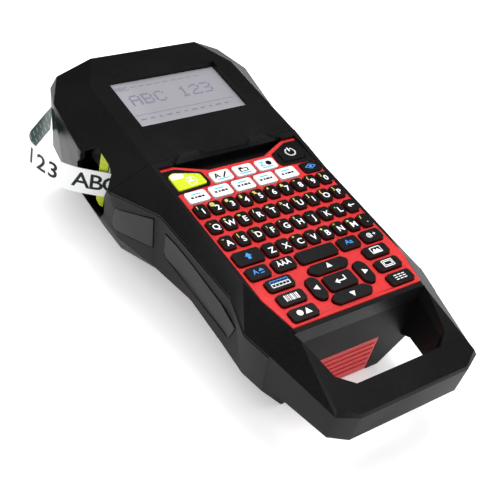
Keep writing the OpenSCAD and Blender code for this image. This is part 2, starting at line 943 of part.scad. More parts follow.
module chassis() {
    top = chassis_z + chassis_t;
    color([0.62, 0.63, 0.65])
        placed() {
            difference() {
                slab([[-50, 52], [36, 52], [36, 124], [-50, 124]], chassis_z, top);
                post(platen_at, 2 + fit, -30, 0);
                post(takeup_at, 2.5 + fit, -30, 0);
                post(pinion_at, 2, -30, 0);
                post([-screw_rear.x, screw_rear.y], 3.4, -30, 0);
            }
            post(idler_at, 1.5, chassis_z, gear_z + gear_t + 0.6);
            post(arm_at, 1.5, -52, top);
            for (at = [[-37, 90], [-32, 112], [32, 112], [32, 72]])
                post(at, 2.4, chassis_z, -8.6);
            // Guide plates either side of the cutter blade
            along_tape()
                for (x = [9.3, 11.7])
                    block([x, 7, 2.5], [1, 8, 32]);
        }
}

module exit_guide() {
    color([0.72, 0.84, 0.1])
        placed()
            along_tape()
                translate([15, -1.3, 0])
                    rotate([90, 0, 0])
                        linear_extrude(height = 1.8)
                            polygon([[0, -18.5], [2.2, -17.5], [4.4, -13], [5, -7], [5, 21], [0, 21]]);
}

// ---------------------------------------------------------------- assembly

upper_case();
display_hood();
display_lens();
lcd_panel();
key_plate();
key_board();
lower_case();
side_grips();
battery_cover();
battery_pack();
battery_contacts();
tape_cover();
hinge_pin();
cover_latch();
tape_cartridge();
tape_reel();
ribbon_supply();
ribbon_takeup();
takeup_gear();
label_strip();
print_head();
head_arm();
platen_roller();
platen_gear();
idler_gear();
feed_motor();
motor_pinion();
cutter_blade();
chassis();
main_board();
case_screws();
feet();
exit_guide();
port_cover();
sockets();
print_key();
power_key();
cursor_key(up_place, bar_up);  // up_key
cursor_key(down_place, turned(bar_up));  // down_key
cursor_key(left_place, bar_side);  // left_key
cursor_key(right_place, turned(bar_side));  // right_key
plain_key(enter_place);  // enter_key
plain_key(space_place);  // space_key
plain_key(shift_place);  // shift_key
plain_key(caps_place);  // caps_key
plain_key(accent_place);  // accent_key
plain_key(case_place);  // case_key
plain_key(symbol_place);  // symbol_key
plain_key(table_place);  // table_key
plain_key(barcode_place);  // barcode_key
plain_key(shape_place);  // shape_key
plain_key(picture_place);  // picture_key
plain_key(frame_place);  // frame_key
plain_key(column_place);  // column_key
plain_key(preview_place, key_low_tops);  // preview_key
function_keys();
row_of_keys(letter_rows[0]);  // digit_keys
row_of_keys(letter_rows[1]);  // letter_keys_1
row_of_keys(letter_rows[2]);  // letter_keys_2
row_of_keys(letter_rows[3]);  // letter_keys_3
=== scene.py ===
# %% [markdown]
# # A handheld label printer, finished in Blender
#
# The printer's parts already exist as exact solids, packed in one frame and grouped into bodies
# that move. This lesson dresses them: every part gets softened edges and a procedural finish, and
# the details that are too fine for the solids are built here and ride on the same bodies.
# The frame is loaded first, and nothing in it is moved.

# %% Load the frame
import bmesh
import bpy
import json
import math
from mathutils import Matrix, Vector
from mathutils.geometry import convex_hull_2d


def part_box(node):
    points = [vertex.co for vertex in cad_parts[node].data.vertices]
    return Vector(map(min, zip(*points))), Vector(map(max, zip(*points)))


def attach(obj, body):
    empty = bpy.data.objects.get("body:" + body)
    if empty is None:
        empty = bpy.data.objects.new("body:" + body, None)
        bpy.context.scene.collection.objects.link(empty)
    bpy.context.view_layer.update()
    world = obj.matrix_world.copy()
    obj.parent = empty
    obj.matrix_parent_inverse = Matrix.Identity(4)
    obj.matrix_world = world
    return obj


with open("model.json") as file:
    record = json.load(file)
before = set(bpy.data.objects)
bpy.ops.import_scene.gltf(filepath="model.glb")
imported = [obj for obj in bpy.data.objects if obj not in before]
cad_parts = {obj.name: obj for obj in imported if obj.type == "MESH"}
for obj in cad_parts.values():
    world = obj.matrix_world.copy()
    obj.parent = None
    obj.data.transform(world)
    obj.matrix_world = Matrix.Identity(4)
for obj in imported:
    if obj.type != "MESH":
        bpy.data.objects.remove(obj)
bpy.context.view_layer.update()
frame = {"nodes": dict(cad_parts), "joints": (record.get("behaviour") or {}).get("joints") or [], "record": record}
nodes = frame["nodes"]
slot_of = {row["node"]: row["material_slot"] for row in frame["record"]["subparts"]}

# %% [markdown]
# ## The deck frame
#
# The keyboard is tilted towards the user, so its details are easier to place in a frame of its
# own: X to the right, Y towards the display, Z out of the keys, in millimetres, with the origin
# at the middle of the digit row. A key's press joint gives the tilt, and the digit row's own
# vertices give the origin, so nothing here has to be kept in step by hand.

# %% Work out the deck frame
MM = 0.001

press = next(j for j in frame["joints"] if j["name"] == "enter_key_press")
deck_z = -Vector(press["axis"]).normalized()
deck_x = Vector((1, 0, 0))
deck_y = deck_z.cross(deck_x)
digit_points = [v.co for v in nodes["digit_keys"].data.vertices]
along = [p.dot(deck_y) for p in digit_points]
deck_origin = deck_y * (min(along) + max(along)) / 2
deck_origin += deck_z * max(p.dot(deck_z) for p in digit_points)
deck_matrix = Matrix((deck_x, deck_y, deck_z)).transposed().to_4x4()
deck_matrix.translation = deck_origin
deck_mm = deck_matrix @ Matrix.Scale(MM, 4)


def deck(x, y, z):
    """A point of the deck frame, in millimetres, as a point of the shared frame in metres."""
    return deck_matrix @ Vector((x * MM, y * MM, z * MM))


print("deck tilt", round(math.degrees(math.atan2(-deck_z.y, deck_z.z)), 2), "degrees, origin", deck_origin)

# %% [markdown]
# ## The camera
#
# A product picture is taken from above and to the left, with the camera rolled a little so that
# the printer runs down the frame. A moderately long lens keeps the shape honest: a short one would
# swell the near end.

# %% Place the camera
CAMERA_AT = Vector((-0.2750, -0.3735, 0.3541))
CAMERA_AIM = Vector((-0.0148, -0.0792, 0.045))
CAMERA_ROLL = 11.36
SENSOR_WIDTH = 36
LENS = 67.24
camera_data = bpy.data.cameras.new("camera")
camera_data.sensor_width = SENSOR_WIDTH
camera_data.lens = LENS
camera = bpy.data.objects.new("camera", camera_data)
bpy.context.scene.collection.objects.link(camera)
look = (CAMERA_AIM - CAMERA_AT).to_track_quat("-Z", "Y").to_matrix().to_4x4()
roll = Matrix.Rotation(math.radians(CAMERA_ROLL), 4, "Z")
camera.matrix_world = Matrix.Translation(CAMERA_AT) @ look @ roll
bpy.context.scene.camera = camera
print("camera", round((CAMERA_AIM - CAMERA_AT).length, 3), "m from its aim,", LENS, "mm lens")

# %% [markdown]
# ## Table and lights
#
# The printer stands on a plain white table. The light is one even pale world and one large soft
# source overhead. Both are hidden from mirror rays, so black plastic stays black on top and its
# sides mirror the bright table; a weak lamp that may be mirrored adds the highlights. The plain
# view transform keeps a white table white, where the filmic one would turn it grey.

# %% Lay the table and set the lights
WORLD_LIGHT = 1.25
LIGHT_AIM = (0, -0.05, 0)
world = bpy.data.worlds.new("studio")
bpy.context.scene.world = world
world.use_nodes = True
world.node_tree.nodes["Background"].inputs["Color"].default_value = (1, 1, 1, 1)
world.node_tree.nodes["Background"].inputs["Strength"].default_value = WORLD_LIGHT
world.cycles_visibility.glossy = False

table_mesh = bpy.data.meshes.new("table")
reach = 6.0
table_mesh.from_pydata([(-reach, -reach, 0), (reach, -reach, 0), (reach, reach, 0), (-reach, reach, 0)], [],
                       [(0, 1, 2, 3)])
table = bpy.data.objects.new("table", table_mesh)
bpy.context.scene.collection.objects.link(table)


def softbox(name, place, size, power, mirrored=False):
    data = bpy.data.lights.new(name, "AREA")
    data.shape = "RECTANGLE"
    data.size, data.size_y = size
    data.energy = power
    lamp = bpy.data.objects.new(name, data)
    bpy.context.scene.collection.objects.link(lamp)
    lamp.location = place
    lamp.visible_glossy = mirrored
    lamp.rotation_euler = (Vector(LIGHT_AIM) - Vector(place)).to_track_quat("-Z", "Y").to_euler()


bpy.context.scene.view_settings.view_transform = "Standard"
softbox("overhead", (0.35, 0.25, 1.5), (1.0, 1.0), 14)
softbox("highlight", (0.5, 0.1, 1.3), (0.5, 0.5), 2.5, mirrored=True)
print("table", 2 * reach, "m wide under two soft lights")

# %% [markdown]
# ## Shader maths in plain Python
#
# A procedural finish is a formula: noise, thresholds and mixes. Written with nodes it is a long
# list of links, so a small class wraps a socket and lets ordinary operators add the Math nodes.

# %% A socket with operators
class Paint:
    """One material's node tree: node() adds a node, and expressions on sockets add Math nodes."""

    def __init__(self, name):
        self.material = bpy.data.materials.new(name)
        self.material.use_nodes = True
        self.tree = self.material.node_tree
        self.shader = self.tree.nodes["Principled BSDF"]

    def node(self, kind, settings=None, out=0, **values):
        made = self.tree.nodes.new(kind)
        for key, value in (settings or {}).items():
            setattr(made, key, value)
        for key, value in values.items():
            self.feed(made.inputs[int(key[1:]) if key[1:].isdigit() else key.replace("_", " ")], value)
        return Socket(self, made.outputs[out])

    def feed(self, target, value):
        if isinstance(value, Socket):
            self.tree.links.new(value.socket, target)
        else:
            target.default_value = value

    def set(self, **values):
        for key, value in values.items():
            self.feed(self.shader.inputs[key.replace("_", " ")], value)
        return self

    def place(self):
        return self.node("ShaderNodeNewGeometry")

    def noise(self, scale, detail):
        return self.node("ShaderNodeTexNoise", {}, Vector=self.place(), Scale=scale, Detail=detail)

    def mix(self, amount, low, high):
        settings = {"data_type": "RGBA"}
        return self.node("ShaderNodeMix", settings, out=2, i0=amount, i6=low, i7=high)

    def deck_place(self):
        """Position in the deck frame, in millimetres, split into its three numbers."""
        back = deck_mm.inverted()
        turned = self.node("ShaderNodeMapping", {}, Vector=self.place(), Location=back.to_translation(),
                           Rotation=back.to_euler(), Scale=back.to_scale())
        split = self.node("ShaderNodeSeparateXYZ", {}, Vector=turned)
        return [Socket(self, socket) for socket in split.socket.node.outputs]

    def bump(self, height, distance):
        return self.node("ShaderNodeBump", {}, Height=height, Distance=distance)


class Socket:
    """A value in a node tree that Python's operators work on."""

    def __init__(self, paint, socket):
        self.paint, self.socket = paint, socket

    def math(self, operation, *others):
        inputs = {f"i{k}": value for k, value in enumerate(others)}
        return self.paint.node("ShaderNodeMath", {"operation": operation}, **inputs)

    def __add__(self, other):
        return self.math("ADD", self, other)

    __radd__ = __add__

    def __sub__(self, other):
        return self.math("SUBTRACT", self, other)

    def __rsub__(self, other):
        return self.math("SUBTRACT", other, self)

    def __mul__(self, other):
        return self.math("MULTIPLY", self, other)

    __rmul__ = __mul__

    def between(self, low, high):
        """0 below low, 1 above high, a ramp between."""
        return self.paint.node("ShaderNodeMapRange", {"clamp": True}, Value=self, From_Min=low, From_Max=high)


print("sockets understand +, - and * on either side, and between()")

# %% [markdown]
# ## Moulded plastic
#
# The casing is ABS moulded in a spark-eroded tool: a dull skin with a grain of about a third of a
# millimetre. Three noises do it: the grain as bump, a broad one that varies the gloss where hands
# have polished it, and a faint lightening so that the black isn't one flat colour. The lower left
# facet of the head is smoother, so its roughness falls inside a box of the deck frame, given in
# millimetres: each pair of numbers says where the change starts and ends.

# %% Moulded finishes
FACET_LEFT = (52, 55)
FACET_REAR = (82, 87)
FACET_DEPTH = (15, 18)
FACET_ROUGHNESS = 0.34


def moulded(name, colour, rough, grain=0.00003, polished=False, shine=0.5):
    p = Paint(name)
    broad = p.noise(35, 3)
    fine_grain = p.noise(2600, 3)
    speck = p.noise(900, 2)
    light = tuple(min(1, c * 1.4 + 0.003) for c in colour[:3]) + (1,)
    tint = p.mix(speck.between(0.42, 0.62) * 0.5 + broad.between(0.35, 0.7) * 0.3, colour, light)
    gloss = rough + (broad - 0.5) * 0.12 + (speck - 0.5) * 0.1
    height = fine_grain * 0.7 + speck * 0.3
    if polished:
        x, y, z = p.deck_place()
        facet = (-1 * x).between(*FACET_LEFT) * y.between(*FACET_REAR) * (-1 * z).between(*FACET_DEPTH)
        gloss = gloss - facet * (gloss - FACET_ROUGHNESS)
        height = height * (1 - facet)
    p.set(Base_Color=tint, Roughness=gloss, Normal=p.bump(height, grain), Specular_IOR_Level=shine)
    return p.material


finishes = {
    "case_black": moulded("case_black", (0.0045, 0.0045, 0.0047, 1), 0.46, shine=0.3),
    "case_grey": moulded("case_grey", (0.003, 0.003, 0.003, 1), 0.5, polished=True, shine=0.13),
    "grip": moulded("grip", (0.017, 0.017, 0.0165, 1), 0.42, 0.00001, shine=0.13),
    "red_plastic": moulded("red_plastic", (0.48, 0.013, 0.014, 1), 0.4, 0.000006),
    "white_key": moulded("white_key", (0.6, 0.6, 0.61, 1), 0.4, 0.000004),
    "black_key": moulded("black_key", (0.0035, 0.0035, 0.0038, 1), 0.38, 0.000006),
    "lime": moulded("lime", (0.42, 0.5, 0.003, 1), 0.36, 0.000004),
    "cartridge": moulded("cartridge", (0.62, 0.62, 0.6, 1), 0.35, 0.000006),
    "gear_plastic": moulded("gear_plastic", (0.72, 0.7, 0.6, 1), 0.38, 0.000004),
    "socket_plastic": moulded("socket_plastic", (0.02, 0.02, 0.02, 1), 0.4, 0.00001),
}
print(len(finishes), "moulded finishes")

# %% [markdown]
# ## Film, rubber, metal and boards
#
# The other finishes each have one trait that tells them apart: tape and ribbon are smooth film
# wound in layers, rubber is dull with fine dust, metals carry brushing along one axis, the battery
# sleeve is shrunk film with a soft wave, and the boards show copper tracks under green lacquer.

# %% The other finishes
def film(name, colour, rough, layer):
    p = Paint(name)
    broad = p.noise(60, 2)
    fine = p.noise(1500, 2)
    stretched = p.node("ShaderNodeMapping", {}, Vector=p.place(), Scale=(200, 200, 9000))
    bands = p.node("ShaderNodeTexNoise", {}, Vector=stretched, Scale=1.0, Detail=1.0)
    darker = tuple(c * 0.86 for c in colour[:3]) + (1,)
    p.set(Base_Color=p.mix(bands.between(0.35, 0.7) * layer + fine * 0.15, colour, darker))
    p.set(Roughness=rough + (broad - 0.5) * 0.15)
    p.set(Normal=p.bump(bands + fine * 0.2, 0.000008 * (0.2 + layer)))
    return p.material


def rubbery(name, colour):
    p = Paint(name)
    dust = p.noise(400, 4)
    fine = p.noise(3000, 2)
    p.set(Base_Color=p.mix(dust.between(0.5, 0.75) * 0.35, colour, (0.06, 0.058, 0.055, 1)))
    p.set(Roughness=0.78 + (dust - 0.5) * 0.2, Normal=p.bump(fine + dust * 0.5, 0.00002))
    return p.material


def brushed(name, colour, rough, metallic=1.0):
    p = Paint(name)
    along = p.node("ShaderNodeMapping", {}, Vector=p.place(), Scale=(120, 120, 4000))
    lines = p.node("ShaderNodeTexNoise", {}, Vector=along, Scale=1.0, Detail=3.0)
    stain = p.noise(90, 3)
    dull = tuple(c * 0.7 for c in colour[:3]) + (1,)
    p.set(Base_Color=p.mix(stain.between(0.4, 0.75) * 0.6, colour, dull), Metallic=metallic)
    p.set(Roughness=rough + (lines - 0.5) * 0.25 + (stain - 0.5) * 0.15, Normal=p.bump(lines, 0.00001))
    return p.material


def board(name):
    p = Paint(name)
    cells = p.node("ShaderNodeTexVoronoi", {"distance": "MANHATTAN"}, Vector=p.place(), Scale=420.0)
    tracks = cells.between(0.42, 0.5)
    broad = p.noise(120, 2)
    tint = p.mix(tracks, (0.006, 0.075, 0.022, 1), (0.02, 0.16, 0.05, 1))
    p.set(Base_Color=tint, Roughness=0.32 + broad * 0.2, Normal=p.bump(tracks, 0.00003))
    return p.material


# Painted highlight on the display lens: its colour turns paler towards the left part and the near edge of the
# glass, standing in for light reflected on it.
PAINTED_HIGHLIGHT_LEFT = (20, 37)
PAINTED_HIGHLIGHT_NEAR = (-78, -71)


def glass_with_painted_highlight(name, colour):
    p = Paint(name)
    x, y, z = p.deck_place()
    # painted highlight: the glass colour is paler towards the left and the near edge
    painted_highlight = (-1 * x).between(*PAINTED_HIGHLIGHT_LEFT) * 0.5 + (-1 * y).between(*PAINTED_HIGHLIGHT_NEAR) * 0.6
    cloud = p.noise(40, 2)
    p.set(Base_Color=p.mix(painted_highlight, colour, (0.34, 0.335, 0.37, 1)), Roughness=0.16 + cloud * 0.1)
    p.set(Normal=p.bump(cloud, 0.00002))
    return p.material


finishes |= {
    "tape": film("tape", (0.74, 0.75, 0.74, 1), 0.24, 0.1),
    "ribbon": film("ribbon", (0.012, 0.012, 0.014, 1), 0.2, 0.9),
    "battery": film("battery", (0.02, 0.035, 0.09, 1), 0.3, 0.2),
    "rubber": rubbery("rubber", (0.012, 0.012, 0.012, 1)),
    "contact_metal": brushed("contact_metal", (0.72, 0.7, 0.66, 1), 0.3),
    "brass": brushed("brass", (0.75, 0.5, 0.2, 1), 0.3),
    "steel": brushed("steel", (0.56, 0.57, 0.6, 1), 0.34),
    "screw_steel": brushed("screw_steel", (0.09, 0.09, 0.095, 1), 0.4),
    "ceramic": brushed("ceramic", (0.5, 0.44, 0.34, 1), 0.45, 0.0),
    "circuit_board": board("circuit_board"),
    "lens": glass_with_painted_highlight("lens", (0.24, 0.238, 0.26, 1)),
    "lcd": moulded("lcd", (0.4, 0.4, 0.42, 1), 0.4, 0.000004),
}

paper = Paint("table_paper")
fibre = paper.noise(300, 4)
paper.set(Base_Color=paper.mix(fibre, (0.8, 0.8, 0.8, 1), (0.83, 0.83, 0.83, 1)))
paper.set(Roughness=0.6 + fibre * 0.1)
paper.set(Emission_Color=(1, 1, 1, 1), Emission_Strength=0.3, Specular_IOR_Level=0.1)
table.data.materials.append(paper.material)
print(len(finishes), "finishes for", len(set(slot_of.values())), "slots")

# %% [markdown]
# ## Softened edges
#
# No moulded or pressed edge is knife sharp. A modifier rounds the edges of every solid without
# touching its mesh: the vertices are welded first, because an imported mesh is split at them.
# Keys and casings get a wide round, small parts a narrow one, and the tape none. Radii in metres.

# %% Soften and paint every solid
WELD_DISTANCE = 0.00001
EDGE_ANGLE = 28
KEY_ROUND = 0.0006
PLAIN_ROUND = 0.0003


def soften(obj, radius, segments):
    weld = obj.modifiers.new("weld", "WELD")
    weld.merge_threshold = WELD_DISTANCE
    bevel = obj.modifiers.new("soft_edges", "BEVEL")
    bevel.width = radius
    bevel.segments = segments
    bevel.limit_method = "ANGLE"
    bevel.angle_limit = math.radians(EDGE_ANGLE)
    bevel.harden_normals = True
    bevel.use_clamp_overlap = True
    normals = obj.modifiers.new("normals", "WEIGHTED_NORMAL")
    normals.keep_sharp = False


edge_radius = {"upper_case": 0.0008, "display_hood": 0.0009, "lower_case": 0.0008, "label_strip": 0,
               "tape_reel": 0.0002, "ribbon_supply": 0.0002}
for name, obj in nodes.items():
    obj.data.materials.clear()
    obj.data.materials.append(finishes[slot_of[name]])
    is_key = slot_of[name] in ("black_key", "white_key") or name == "print_key"
    radius = edge_radius.get(name, KEY_ROUND if is_key else PLAIN_ROUND)
    if radius:
        soften(obj, radius, 3 if is_key else 2)
print(len(nodes), "solids painted")

# %% [markdown]
# ## Printed marks as thin solids
#
# Key legends, icons and the printed tape are ink. Here each mark is a real sheet a few hundredths
# of a millimetre thick, gathered body by body into one mesh, so it moves with its key. Letters
# come from the built-in font, turned into a mesh; icons are bars, discs, rings and outlines.

# %% A pad of ink
def ink_material(name, colour, rough=0.45):
    p = Paint(name)
    worn = p.noise(1200, 3)
    pale = tuple(min(1, c * 0.88 + 0.004) for c in colour[:3]) + (1,)
    p.set(Base_Color=p.mix(worn.between(0.4, 0.7), colour, pale), Roughness=rough + (worn - 0.5) * 0.15)
    p.set(Specular_IOR_Level=0.2)
    return p.material


INKS = {
    "white": ink_material("ink_white", (0.8, 0.8, 0.8, 1)),
    "yellow": ink_material("ink_yellow", (0.62, 0.6, 0.16, 1)),
    "blue": ink_material("ink_blue", (0.05, 0.24, 0.62, 1)),
    "black": ink_material("ink_black", (0.006, 0.006, 0.007, 1)),
    "cyan": ink_material("ink_cyan", (0.03, 0.42, 0.62, 1)),
    "teal": ink_material("ink_teal", (0.06, 0.2, 0.17, 1), 0.3),
    "violet": ink_material("ink_violet", (0.15, 0.145, 0.2, 1)),
}
INK_ORDER = list(INKS)
DISC_SIDES = 24
ARC_STEP = 15
CAPITAL_HEIGHT = 0.73
SMALL_MARK = 0.3


def corners(x, y, w, h):
    """The corners of a rectangle w wide and h high about its middle, anticlockwise."""
    return [(x + i * w / 2, y + j * h / 2) for i, j in ((-1, -1), (1, -1), (1, 1), (-1, 1))]


class Ink:
    """Marks on one body, drawn in millimetres in a frame whose Z leaves the surface."""

    def __init__(self, name, body, frame_mm=None):
        self.name, self.body = name, body
        self.frame_mm = frame_mm or deck_mm
        self.points, self.faces, self.inks = [], [], []

    def solid(self, points, faces, ink):
        start = len(self.points)
        self.points += [Vector(p) for p in points]
        self.faces += [[start + i for i in face] for face in faces]
        self.inks += [INK_ORDER.index(ink)] * len(faces)

    def shape(self, outline, ink, z, thick=0.05):
        n = len(outline)
        points = [(x, y, z) for x, y in outline] + [(x, y, z + thick) for x, y in outline]
        sides = [[i, (i + 1) % n, n + (i + 1) % n, n + i] for i in range(n)]
        self.solid(points, [list(range(n))[::-1], list(range(n, 2 * n))] + sides, ink)

    def bar(self, x, y, w, h, ink, z, thick=0.05):
        self.shape(corners(x, y, w, h), ink, z, thick)

    def line(self, points, width, ink, z, closed=False):
        ends = points[1:] + points[:1] if closed else points[1:]
        for (ax, ay), (bx, by) in zip(points, ends):
            length = math.hypot(bx - ax, by - ay)
            ux, uy = (bx - ax) / length * width / 2, (by - ay) / length * width / 2
            self.shape([(ax - ux + uy, ay - uy - ux), (bx + ux + uy, by + uy - ux),
                        (bx + ux - uy, by + uy + ux), (ax - ux - uy, ay - uy + ux)], ink, z)

    def disc(self, x, y, r, ink, z):
        turns = [2 * math.pi * k / DISC_SIDES for k in range(DISC_SIDES)]
        self.shape([(x + r * math.cos(t), y + r * math.sin(t)) for t in turns], ink, z)

    def arc(self, x, y, r, start, end, width, ink, z):
        steps = max(4, int(abs(end - start) / ARC_STEP))
        angles = [math.radians(start + (end - start) * k / steps) for k in range(steps + 1)]
        self.line([(x + r * math.cos(t), y + r * math.sin(t)) for t in angles], width, ink, z)

    def text(self, words, x, y, size, ink, z, thick=0.05, bold=0.012):
        glyphs = letters(words, bold)
        points = [(x + size * p[0], y + size * p[1], z + (thick if p[2] > 0 else 0)) for p in glyphs[0]]
        self.solid(points, glyphs[1], ink)

    def done(self):
        mesh = bpy.data.meshes.new(self.name)
        mesh.from_pydata([self.frame_mm @ p for p in self.points], [], self.faces)
        for material in INKS.values():
            mesh.materials.append(material)
        mesh.polygons.foreach_set("material_index", self.inks)
        obj = bpy.data.objects.new(self.name, mesh)
        bpy.context.scene.collection.objects.link(obj)
        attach(obj, self.body)
        return obj


glyph_store = {}


def letters(words, bold=0.0):
    """Points and faces of a line of text with capitals one unit high, centred on its middle.

    Marks lower than SMALL_MARK, such as a dash, keep the font's own size."""
    if (words, bold) not in glyph_store:
        curve = bpy.data.curves.new("letters", "FONT")
        curve.body = words
        curve.extrude = 0.01
        curve.offset = bold
        curve.resolution_u = 3
        curve.align_x, curve.align_y = "CENTER", "CENTER"
        holder = bpy.data.objects.new("letters", curve)
        bpy.context.scene.collection.objects.link(holder)
        evaluated = holder.evaluated_get(bpy.context.evaluated_depsgraph_get())
        mesh = bpy.data.meshes.new_from_object(evaluated)
        height = max(v.co.y for v in mesh.vertices) - min(v.co.y for v in mesh.vertices)
        scale = 1 / CAPITAL_HEIGHT if height > SMALL_MARK else 1.0
        faces = [list(f.vertices) for f in mesh.polygons]
        glyph_store[words, bold] = ([v.co * scale for v in mesh.vertices], faces)
        bpy.data.objects.remove(holder)
        bpy.data.curves.remove(curve)
        bpy.data.meshes.remove(mesh)
    return glyph_store[words, bold]


print("letter A has", len(letters("A")[1]), "faces")

# %% [markdown]
# ## Key legends
#
# The rows carry a plain keyboard: a white character below the middle and a small yellow mark in
# the upper left corner. Each row is one body, so its legends are one mesh that moves with it.

# %% Letters and digits
COLUMN = 9.0
ROW = 12.4
MIDDLE_COLUMN = 4.5
ROWS = {"digit_keys": ("1234567890", "!@#$%^&*()"), "letter_keys_1": ("QWERTYUIOP", "-+=/<>[]{}"),
        "letter_keys_2": ("ASDFGHJKL", "~|;:'?_.,"), "letter_keys_3": ("ZXCVBNM.", "  \"-+*=/")}
FIRST_COLUMN = {"letter_keys_3": 2}
SKIN = 0.005
for row, (name, (main, small)) in enumerate(ROWS.items()):
    ink = Ink(name + ".legends", name)
    for i, (letter, mark) in enumerate(zip(main, small)):
        x, y = (i + FIRST_COLUMN.get(name, 0) - MIDDLE_COLUMN) * COLUMN, -row * ROW
        ink.text(letter, x + 0.45, y - 1.0, 3.9, "white", SKIN, bold=0.015)
        if mark.strip():
            ink.text(mark, x - 1.6, y + 2.2, 2.2, "yellow", SKIN, bold=0.03)
    if name == "letter_keys_2":
        x, y = MIDDLE_COLUMN * COLUMN, -row * ROW
        ink.line([(x + 1.8, y), (x - 1.4, y)], 0.6, "white", SKIN)
        ink.shape([(x - 0.6, y + 1.5), (x - 2.3, y), (x - 0.6, y - 1.5)], "white", SKIN)
    ink.done()
print(len(ROWS), "rows of legends")

# %% [markdown]
# ## Icons on the other keys
#
# Words on the wide keys are replaced by icons that say the same thing. One short function draws
# each icon about its key's centre, which comes from the solid, and a table says which key has
# which. Some keys stand lower than the letter keys, so their ink lies on a lower skin.

# %% Icons on the wide keys
LOW_SKIN = SKIN - 0.8


def key_centre(name):
    low, high = (Vector(corner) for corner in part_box(name))
    local = deck_mm.inverted() @ ((low + high) / 2)
    return local.x, local.y


def icon(name, draw):
    x, y = key_centre(name)
    ink = Ink(name + ".icon", name)
    draw(ink, x, y)
    ink.done()


def frame_icon(ink, x, y, w, h, colour="white"):
    ink.line(corners(x, y, w, h), 0.45, colour, SKIN, closed=True)


def arrow(dx, dy):
    def draw(ink, x, y):
        ink.shape([(x + 2.2 * dx, y + 2.2 * dy), (x - dx - 1.7 * dy, y - dy + 1.7 * dx),
                   (x - dx + 1.7 * dy, y - dy - 1.7 * dx)], "white", SKIN)
    return draw


def shift_icon(ink, x, y):
    ink.shape([(x - 2, y - 0.2), (x, y + 2.2), (x + 2, y - 0.2), (x + 0.9, y - 0.2), (x + 0.9, y - 2.2),
               (x - 0.9, y - 2.2), (x - 0.9, y - 0.2)][::-1], "blue", SKIN)


def caps_icon(ink, x, y):
    ink.text("A", x - 1.6, y, 3.2, "blue", SKIN)
    ink.shape([(x + 0.4, y), (x + 2, y + 1.8), (x + 3.6, y)][::-1], "blue", SKIN)
    ink.bar(x + 2, y - 1.3, 2.2, 0.6, "blue", SKIN)


def table_icon(ink, x, y):
    for column in range(5):
        frame_icon(ink, x - 4.2 + 2.1 * column, y - 1, 2.1, 2)
        frame_icon(ink, x - 4.2 + 2.1 * column, y + 1.1, 2.1, 1.6, "blue")


def barcode_icon(ink, x, y):
    for k, w in enumerate((0.7, 0.3, 0.5, 0.3, 0.9, 0.3, 0.5, 0.7)):
        ink.bar(x - 3.6 + k * 1.03, y, w, 3.8, "white", SKIN)


def shape_icon(ink, x, y):
    ink.disc(x - 2.3, y, 1.7, "white", SKIN)
    ink.shape([(x + 0.3, y - 1.7), (x + 4.2, y - 1.7), (x + 2.25, y + 1.8)], "white", SKIN)


def picture_icon(ink, x, y):
    frame_icon(ink, x, y, 6.4, 4)
    hills = [(x - 2.8, y - 1.6), (x + 2.8, y - 1.6), (x + 1, y + 0.8), (x, y - 0.4), (x - 1.1, y + 1.1)]
    ink.shape(hills, "white", SKIN)


def column_icon(ink, x, y):
    for dx in (-2.6, 0, 2.6):
        for k in range(3):
            ink.bar(x + dx, y - 1.4 + 1.4 * k, 1.9, 0.5, "white", SKIN)


def enter_icon(ink, x, y):
    ink.line([(x + 3, y + 1.8), (x + 3, y - 0.6), (x - 1.6, y - 0.6)], 0.7, "white", SKIN)
    ink.shape([(x - 1.4, y + 1.1), (x - 3.8, y - 0.6), (x - 1.4, y - 2.3)], "white", SKIN)


def preview_icon(ink, x, y):
    ink.line([(x - 3.4, y), (x, y + 1.9), (x + 3.4, y), (x, y - 1.9)], 0.5, "blue", LOW_SKIN, closed=True)
    ink.disc(x, y, 1, "blue", LOW_SKIN)


def power_icon(ink, x, y):
    ink.arc(x, y + 0.4, 3, 122, 418, 0.8, "white", LOW_SKIN)
    ink.bar(x, y + 2.6, 0.8, 3.2, "white", LOW_SKIN)


def print_icon(ink, x, y):
    tag = [(x - 8.4, y + 4.6), (x - 8.4, y + 1.6), (x - 1.2, y + 1.8), (x - 0.4, y + 4.3), (x - 5.3, y + 6)]
    ink.shape(tag, "white", LOW_SKIN)
    ink.arc(x + 1.6, y - 1.6, 3, 0, 360, 0.5, "white", LOW_SKIN)
    ink.bar(x + 1.6, y - 1.6, 3.4, 1.3, "white", LOW_SKIN)
    ink.bar(x + 1.6, y + 0.1, 2, 0.5, "white", LOW_SKIN)


def symbol_icon(ink, x, y):
    ink.text("@", x - 1.6, y, 2.6, "white", SKIN)
    ink.text("+", x + 2, y, 2.6, "white", SKIN)


ICONS = {
    "up_key": arrow(0, 1), "down_key": arrow(0, -1), "left_key": arrow(-1, 0), "right_key": arrow(1, 0),
    "shift_key": shift_icon, "caps_key": caps_icon,
    "accent_key": lambda ink, x, y: ink.text("ÀÄÂ", x, y, 3.0, "white", SKIN),
    "case_key": lambda ink, x, y: ink.text("Aa", x, y, 3.2, "blue", SKIN),
    "symbol_key": symbol_icon, "table_key": table_icon, "barcode_key": barcode_icon,
    "shape_key": shape_icon, "picture_key": picture_icon, "column_key": column_icon,
    "frame_key": lambda ink, x, y: (frame_icon(ink, x, y, 6.6, 4.2), frame_icon(ink, x, y, 4.8, 2.4)),
    "enter_key": enter_icon, "preview_key": preview_icon, "power_key": power_icon, "print_key": print_icon,
}
for name, draw in ICONS.items():
    icon(name, draw)
print(len(ICONS), "icons")

# %% [markdown]
# ## White function keys
#
# Eight white keys sit below the display. Each has a black icon and a cyan bar for its second use.
# Their places come from the solid itself: its loose islands are the keys.

